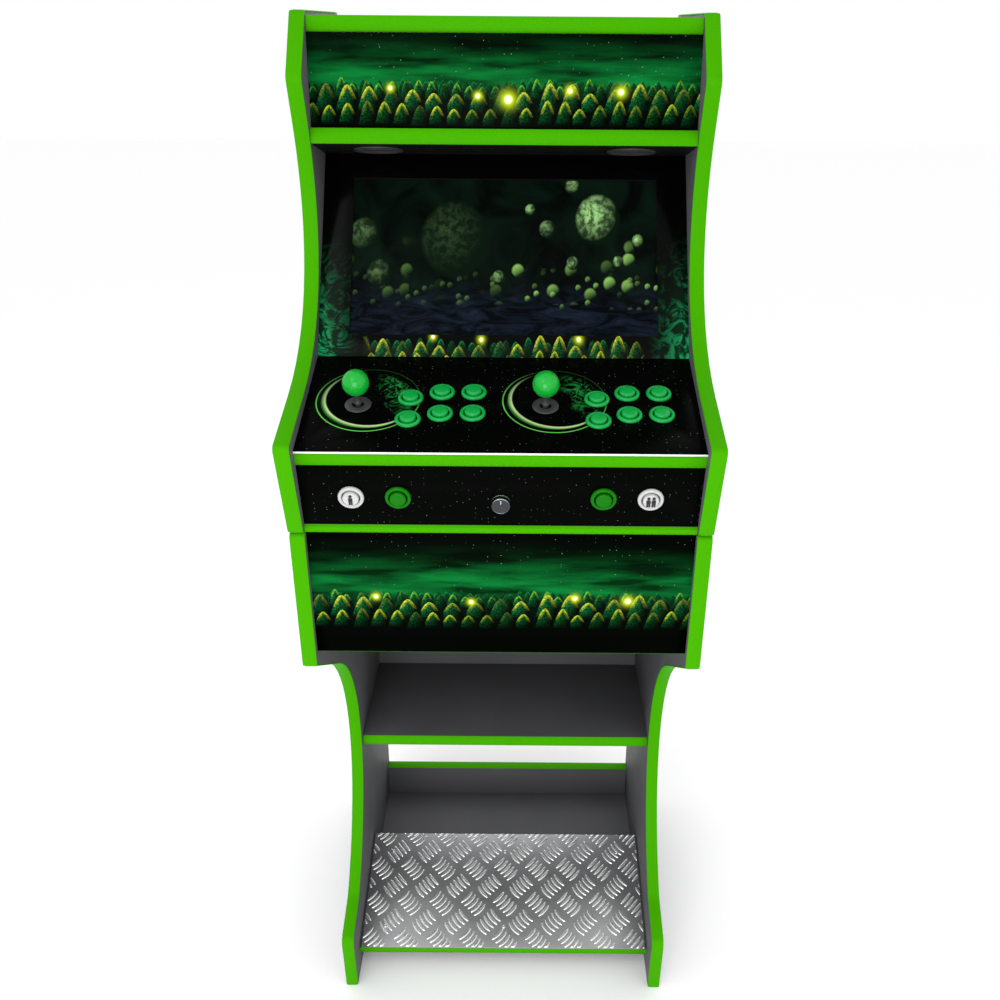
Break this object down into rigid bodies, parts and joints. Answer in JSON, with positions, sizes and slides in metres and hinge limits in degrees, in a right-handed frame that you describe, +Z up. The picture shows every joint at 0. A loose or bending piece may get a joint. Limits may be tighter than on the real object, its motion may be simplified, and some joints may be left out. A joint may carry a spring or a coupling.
{
  "type": "two-player arcade cabinet",
  "caption": "Upright arcade cabinet: a bartop head with screen, lit sign, joysticks and push buttons, standing on an open pedestal with a shelf and a foot rest.",
  "frame": {"origin": "on the floor, at the middle of the bounding box's width and depth", "axes": "+Z up; -Y is the front, where the players stand; +X is the players' right"},
  "size_m": [0.554, 0.6761, 1.572],
  "materials": {
    "laminate": "black melamine-faced MDF board, fine satin texture",
    "trim": "bright green flexible PVC T-shaped edge moulding, satin",
    "printed_acrylic": "acrylic sheet with printed night-sky artwork",
    "printed_board": "MDF board faced with a printed gloss vinyl sheet",
    "clear_cover": "clear acrylic cover over a printed sheet",
    "monitor": "black monitor with a dark glossy screen",
    "speaker_metal": "perforated metal grille over a paper cone",
    "tread_aluminium": "five-bar pattern tread plate, mill finish",
    "knob_metal": "turned and plated metal with a brushed face",
    "green_plastic": "moulded green ABS, gloss",
    "front_button_plastic": "moulded white and green ABS, gloss",
    "white_plastic": "moulded white ABS, gloss",
    "dark_plastic": "moulded dark grey plastic, satin"
  },
  "bodies": {
    "cabinet": {"button_bodies_front": "front_button_plastic", "button_bodies_p1": "green_plastic", "button_bodies_p2": "green_plastic", "control_panel": "laminate", "control_panel_cover": "clear_cover", "foot_board": "laminate", "front_button_panel": "printed_board", "game_computer": "dark_plastic", "head_back_panel": "laminate", "head_edge_trim_left": "trim", "head_edge_trim_right": "trim", "head_floor": "laminate", "head_side_left": "laminate", "head_side_right": "laminate", "joystick_p1_base": "dark_plastic", "joystick_p1_dust_washer": "dark_plastic", "joystick_p2_base": "dark_plastic", "joystick_p2_dust_washer": "dark_plastic", "monitor": "monitor", "power_inlet": "dark_plastic", "power_supply": "dark_plastic", "rear_beam": "laminate", "roof_board": "laminate", "screen_surround": "printed_acrylic", "shelf": "laminate", "sign_light": "white_plastic", "sign_panel": "printed_acrylic", "speaker_board": "laminate", "speaker_left": "speaker_metal", "speaker_right": "speaker_metal", "stand_back_panel": "laminate", "stand_edge_trim_left": "trim", "stand_edge_trim_right": "trim", "stand_floor": "laminate", "stand_front_panel": "laminate", "stand_side_left": "laminate", "stand_side_right": "laminate", "tread_plate": "tread_aluminium", "volume_pot": "knob_metal"},
    "button_coin_p1": {"button_coin_p1": "green_plastic"},
    "button_coin_p2": {"button_coin_p2": "green_plastic"},
    "button_p1_1": {"button_p1_1": "green_plastic"},
    "button_p1_2": {"button_p1_2": "green_plastic"},
    "button_p1_3": {"button_p1_3": "green_plastic"},
    "button_p1_4": {"button_p1_4": "green_plastic"},
    "button_p1_5": {"button_p1_5": "green_plastic"},
    "button_p1_6": {"button_p1_6": "green_plastic"},
    "button_p2_1": {"button_p2_1": "green_plastic"},
    "button_p2_2": {"button_p2_2": "green_plastic"},
    "button_p2_3": {"button_p2_3": "green_plastic"},
    "button_p2_4": {"button_p2_4": "green_plastic"},
    "button_p2_5": {"button_p2_5": "green_plastic"},
    "button_p2_6": {"button_p2_6": "green_plastic"},
    "button_start_p1": {"button_start_p1": "white_plastic"},
    "button_start_p2": {"button_start_p2": "white_plastic"},
    "joystick_p1_gimbal": {"joystick_p1_gimbal": "dark_plastic"},
    "joystick_p1_stick": {"joystick_p1_stick": "green_plastic"},
    "joystick_p2_gimbal": {"joystick_p2_gimbal": "dark_plastic"},
    "joystick_p2_stick": {"joystick_p2_stick": "green_plastic"},
    "volume_knob": {"volume_knob": "knob_metal"}
  },
  "joints": [
    {"name": "button_coin_p1_press", "type": "slide", "parent": "cabinet", "child": "button_coin_p1", "axis": [0, 0.9742, 0.2258], "range_m": [0, 0.003], "stiffness_N_per_m": 300, "springref_m": -0.001},
    {"name": "button_coin_p2_press", "type": "slide", "parent": "cabinet", "child": "button_coin_p2", "axis": [0, 0.9742, 0.2258], "range_m": [0, 0.003], "stiffness_N_per_m": 300, "springref_m": -0.001},
    {"name": "button_p1_1_press", "type": "slide", "parent": "cabinet", "child": "button_p1_1", "axis": [0, 0.299, -0.9542], "range_m": [0, 0.003], "stiffness_N_per_m": 300, "springref_m": -0.001},
    {"name": "button_p1_2_press", "type": "slide", "parent": "cabinet", "child": "button_p1_2", "axis": [0, 0.299, -0.9542], "range_m": [0, 0.003], "stiffness_N_per_m": 300, "springref_m": -0.001},
    {"name": "button_p1_3_press", "type": "slide", "parent": "cabinet", "child": "button_p1_3", "axis": [0, 0.299, -0.9542], "range_m": [0, 0.003], "stiffness_N_per_m": 300, "springref_m": -0.001},
    {"name": "button_p1_4_press", "type": "slide", "parent": "cabinet", "child": "button_p1_4", "axis": [0, 0.299, -0.9542], "range_m": [0, 0.003], "stiffness_N_per_m": 300, "springref_m": -0.001},
    {"name": "button_p1_5_press", "type": "slide", "parent": "cabinet", "child": "button_p1_5", "axis": [0, 0.299, -0.9542], "range_m": [0, 0.003], "stiffness_N_per_m": 300, "springref_m": -0.001},
    {"name": "button_p1_6_press", "type": "slide", "parent": "cabinet", "child": "button_p1_6", "axis": [0, 0.299, -0.9542], "range_m": [0, 0.003], "stiffness_N_per_m": 300, "springref_m": -0.001},
    {"name": "button_p2_1_press", "type": "slide", "parent": "cabinet", "child": "button_p2_1", "axis": [0, 0.299, -0.9542], "range_m": [0, 0.003], "stiffness_N_per_m": 300, "springref_m": -0.001},
    {"name": "button_p2_2_press", "type": "slide", "parent": "cabinet", "child": "button_p2_2", "axis": [0, 0.299, -0.9542], "range_m": [0, 0.003], "stiffness_N_per_m": 300, "springref_m": -0.001},
    {"name": "button_p2_3_press", "type": "slide", "parent": "cabinet", "child": "button_p2_3", "axis": [0, 0.299, -0.9542], "range_m": [0, 0.003], "stiffness_N_per_m": 300, "springref_m": -0.001},
    {"name": "button_p2_4_press", "type": "slide", "parent": "cabinet", "child": "button_p2_4", "axis": [0, 0.299, -0.9542], "range_m": [0, 0.003], "stiffness_N_per_m": 300, "springref_m": -0.001},
    {"name": "button_p2_5_press", "type": "slide", "parent": "cabinet", "child": "button_p2_5", "axis": [0, 0.299, -0.9542], "range_m": [0, 0.003], "stiffness_N_per_m": 300, "springref_m": -0.001},
    {"name": "button_p2_6_press", "type": "slide", "parent": "cabinet", "child": "button_p2_6", "axis": [0, 0.299, -0.9542], "range_m": [0, 0.003], "stiffness_N_per_m": 300, "springref_m": -0.001},
    {"name": "button_start_p1_press", "type": "slide", "parent": "cabinet", "child": "button_start_p1", "axis": [0, 0.9742, 0.2258], "range_m": [0, 0.003], "stiffness_N_per_m": 300, "springref_m": -0.001},
    {"name": "button_start_p2_press", "type": "slide", "parent": "cabinet", "child": "button_start_p2", "axis": [0, 0.9742, 0.2258], "range_m": [0, 0.003], "stiffness_N_per_m": 300, "springref_m": -0.001},
    {"name": "joystick_p1_up_down", "type": "hinge", "parent": "cabinet", "child": "joystick_p1_gimbal", "pos_m": [-0.1875, -0.2198, 1.08895], "axis": [1, 0, 0], "range_deg": [-10, 10], "stiffness_Nm_per_rad": 1},
    {"name": "joystick_p1_left_right", "type": "hinge", "parent": "joystick_p1_gimbal", "child": "joystick_p1_stick", "pos_m": [-0.1875, -0.2198, 1.08895], "axis": [0, 0.9542, 0.299], "range_deg": [-10, 10], "stiffness_Nm_per_rad": 1},
    {"name": "joystick_p2_up_down", "type": "hinge", "parent": "cabinet", "child": "joystick_p2_gimbal", "pos_m": [0.0568, -0.2198, 1.08895], "axis": [1, 0, 0], "range_deg": [-10, 10], "stiffness_Nm_per_rad": 1},
    {"name": "joystick_p2_left_right", "type": "hinge", "parent": "joystick_p2_gimbal", "child": "joystick_p2_stick", "pos_m": [0.0568, -0.2198, 1.08895], "axis": [0, 0.9542, 0.299], "range_deg": [-10, 10], "stiffness_Nm_per_rad": 1},
    {"name": "volume_knob_turn", "type": "hinge", "parent": "cabinet", "child": "volume_knob", "pos_m": [0, -0.2959, 0.99654], "axis": [0, -0.9742, -0.2258], "range_deg": [-150, 150]}
  ]
}
